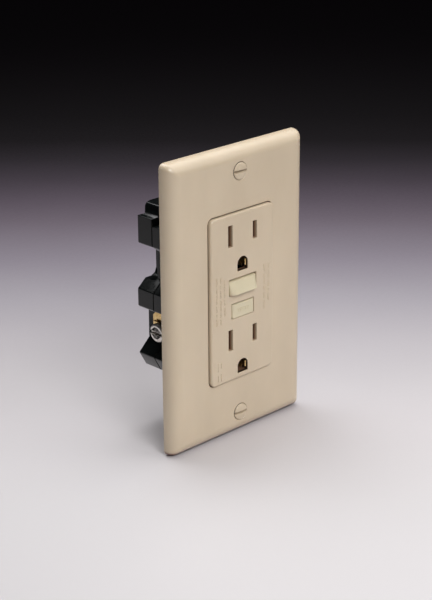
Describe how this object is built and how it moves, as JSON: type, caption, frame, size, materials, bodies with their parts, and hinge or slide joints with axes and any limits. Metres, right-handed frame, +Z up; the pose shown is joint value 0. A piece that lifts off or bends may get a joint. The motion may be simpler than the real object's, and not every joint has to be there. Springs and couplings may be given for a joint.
{
  "type": "ground fault receptacle with wall plate",
  "caption": "Decorator receptacle with ground fault protection, test and reset buttons and its wall plate; fastens to a wall box and feeds plugs.",
  "frame": {"origin": "centre of the wall plane: midway between the plate's four sides, at the rear of the plate's rim and of the strap's ears", "axes": "+X to the right seen from the front, +Y into the wall, +Z up"},
  "size_m": [0.0698, 0.0374, 0.1142],
  "materials": {
    "ivory_plastic": "satin moulded nylon; the plate screws are painted to match",
    "button_plastic": "satin, slightly yellower than the face",
    "black_housing": "glossy moulded thermoplastic, near black with a green cast",
    "grey_plastic": "moulded",
    "zinc_steel": "zinc plated",
    "brass": "stamped or turned, uncoated",
    "nickel_screw": "nickel or silver plated",
    "green_screw": "green dyed plating",
    "copper_wire": null,
    "fibre_board": "pressed fibre",
    "board_laminate": "green lacquered laminate",
    "component_body": "moulded resin",
    "varistor_coating": "dipped resin",
    "sensor_core": "resin-coated magnetic core"
  },
  "bodies": {
    "device": {"arm_post_hot": "brass", "arm_post_neutral": "brass", "circuit_board": "board_laminate", "control_chip": "component_body", "face_cover": "ivory_plastic", "filter_capacitor": "component_body", "fixed_contact_hot": "nickel_screw", "fixed_contact_neutral": "nickel_screw", "ground_contact_lower": "brass", "ground_contact_upper": "brass", "ground_rivet_lower": "brass", "ground_rivet_upper": "brass", "housing_screw_1": "zinc_steel", "housing_screw_2": "zinc_steel", "housing_screw_3": "zinc_steel", "housing_screw_4": "zinc_steel", "line_terminal_hot": "brass", "line_terminal_neutral": "brass", "middle_housing": "black_housing", "mounting_retainer_lower": "fibre_board", "mounting_retainer_upper": "fibre_board", "mounting_strap": "zinc_steel", "plunger_spring": "zinc_steel", "rear_housing": "black_housing", "receptacle_bus_hot": "brass", "receptacle_bus_neutral": "brass", "reset_spring": "zinc_steel", "sensor_core_fault": "sensor_core", "sensor_core_holder": "grey_plastic", "sensor_core_neutral": "sensor_core", "solenoid_bobbin": "grey_plastic", "solenoid_coil": "copper_wire", "solenoid_frame": "zinc_steel", "surge_varistor": "varistor_coating", "test_contact_leaf": "brass", "trip_thyristor": "component_body", "wall_plate": "ivory_plastic"},
    "plate_screw_upper": {"wall_plate_screw_upper": "ivory_plastic"},
    "plate_screw_lower": {"wall_plate_screw_lower": "ivory_plastic"},
    "box_screw_upper": {"mounting_screw_upper": "zinc_steel"},
    "box_screw_lower": {"mounting_screw_lower": "zinc_steel"},
    "ground_screw": {"ground_terminal_screw": "green_screw"},
    "test": {"test_button": "button_plastic"},
    "reset": {"reset_button": "button_plastic", "reset_rod": "zinc_steel"},
    "carriage": {"contact_carriage": "grey_plastic"},
    "arm_neutral": {"contact_arm_neutral": "copper_wire", "moving_contact_neutral": "nickel_screw"},
    "arm_hot": {"contact_arm_hot": "copper_wire", "moving_contact_hot": "nickel_screw"},
    "trip_latch": {"solenoid_plunger": "zinc_steel", "latch_plate": "zinc_steel"},
    "clamp_load_neutral": {"clamp_plate_load_neutral": "brass"},
    "screw_load_neutral": {"terminal_screw_load_neutral": "nickel_screw"},
    "clamp_line_neutral": {"clamp_plate_line_neutral": "brass"},
    "screw_line_neutral": {"terminal_screw_line_neutral": "nickel_screw"},
    "clamp_load_hot": {"clamp_plate_load_hot": "brass"},
    "screw_load_hot": {"terminal_screw_load_hot": "brass"},
    "clamp_line_hot": {"clamp_plate_line_hot": "brass"},
    "screw_line_hot": {"terminal_screw_line_hot": "brass"}
  },
  "joints": [
    {"name": "plate_screw_upper_turn", "type": "hinge", "parent": "device", "child": "plate_screw_upper", "pos_m": [0, -0.006, 0.0484], "axis": [0, -1, 0], "continuous": true},
    {"name": "plate_screw_lower_turn", "type": "hinge", "parent": "device", "child": "plate_screw_lower", "pos_m": [0, -0.006, -0.0484], "axis": [0, -1, 0], "continuous": true},
    {"name": "box_screw_upper_turn", "type": "hinge", "parent": "device", "child": "box_screw_upper", "pos_m": [0, -0.0015, 0.04165], "axis": [0, -1, 0], "continuous": true},
    {"name": "box_screw_lower_turn", "type": "hinge", "parent": "device", "child": "box_screw_lower", "pos_m": [0, -0.0015, -0.04165], "axis": [0, -1, 0], "continuous": true},
    {"name": "ground_screw_turn", "type": "hinge", "parent": "device", "child": "ground_screw", "pos_m": [-0.0107, 0.005, -0.0442], "axis": [-1, 0, 0], "continuous": true},
    {"name": "test_button_press", "type": "slide", "parent": "device", "child": "test", "axis": [0, 1, 0], "range_m": [0, 0.0015], "stiffness_N_per_m": 400, "springref_m": -0.002, "deforming": ["test_contact_leaf"]},
    {"name": "reset_button_travel", "type": "slide", "parent": "device", "child": "reset", "axis": [0, 1, 0], "range_m": [-0.0022, 0.0012], "stiffness_N_per_m": 500, "deforming": ["reset_spring"]},
    {"name": "carriage_travel", "type": "slide", "parent": "device", "child": "carriage", "axis": [0, 1, 0], "range_m": [0, 0.001]},
    {"name": "arm_neutral_open", "type": "hinge", "parent": "device", "child": "arm_neutral", "pos_m": [-0.0105, 0.01145, -0.0155], "axis": [-1, 0, 0], "range_deg": [0, 6.7]},
    {"name": "arm_hot_open", "type": "hinge", "parent": "device", "child": "arm_hot", "pos_m": [0.0105, 0.01145, -0.0155], "axis": [-1, 0, 0], "range_deg": [0, 6.7]},
    {"name": "plunger_travel", "type": "slide", "parent": "device", "child": "trip_latch", "axis": [0, 0, 1], "range_m": [0, 0.002], "stiffness_N_per_m": 250, "springref_m": -0.003, "deforming": ["plunger_spring"]},
    {"name": "clamp_load_neutral_travel", "type": "slide", "parent": "device", "child": "clamp_load_neutral", "axis": [-1, 0, 0], "range_m": [0, 0.0025]},
    {"name": "screw_load_neutral_turn", "type": "hinge", "parent": "clamp_load_neutral", "child": "screw_load_neutral", "pos_m": [-0.0186, 0.0118, 0.0094], "axis": [-1, 0, 0], "range_deg": [0, 1134]},
    {"name": "clamp_line_neutral_travel", "type": "slide", "parent": "device", "child": "clamp_line_neutral", "axis": [-1, 0, 0], "range_m": [0, 0.0025]},
    {"name": "screw_line_neutral_turn", "type": "hinge", "parent": "clamp_line_neutral", "child": "screw_line_neutral", "pos_m": [-0.0186, 0.0188, -0.0169], "axis": [-1, 0, 0], "range_deg": [0, 1134]},
    {"name": "clamp_load_hot_travel", "type": "slide", "parent": "device", "child": "clamp_load_hot", "axis": [1, 0, 0], "range_m": [0, 0.0025]},
    {"name": "screw_load_hot_turn", "type": "hinge", "parent": "clamp_load_hot", "child": "screw_load_hot", "pos_m": [0.0186, 0.0118, 0.0094], "axis": [1, 0, 0], "range_deg": [0, 1134]},
    {"name": "clamp_line_hot_travel", "type": "slide", "parent": "device", "child": "clamp_line_hot", "axis": [1, 0, 0], "range_m": [0, 0.0025]},
    {"name": "screw_line_hot_turn", "type": "hinge", "parent": "clamp_line_hot", "child": "screw_line_hot", "pos_m": [0.0186, 0.0188, -0.0169], "axis": [1, 0, 0], "range_deg": [0, 1134]}
  ],
  "couplings": [
    {"joint": "arm_neutral_open", "follows": "carriage_travel", "rad_per_m": 116.3},
    {"joint": "arm_hot_open", "follows": "carriage_travel", "rad_per_m": 116.3},
    {"joint": "screw_load_neutral_turn", "follows": "clamp_load_neutral_travel", "rad_per_m": 7915.8},
    {"joint": "screw_line_neutral_turn", "follows": "clamp_line_neutral_travel", "rad_per_m": 7915.8},
    {"joint": "screw_load_hot_turn", "follows": "clamp_load_hot_travel", "rad_per_m": 7915.8},
    {"joint": "screw_line_hot_turn", "follows": "clamp_line_hot_travel", "rad_per_m": 7915.8}
  ]
}
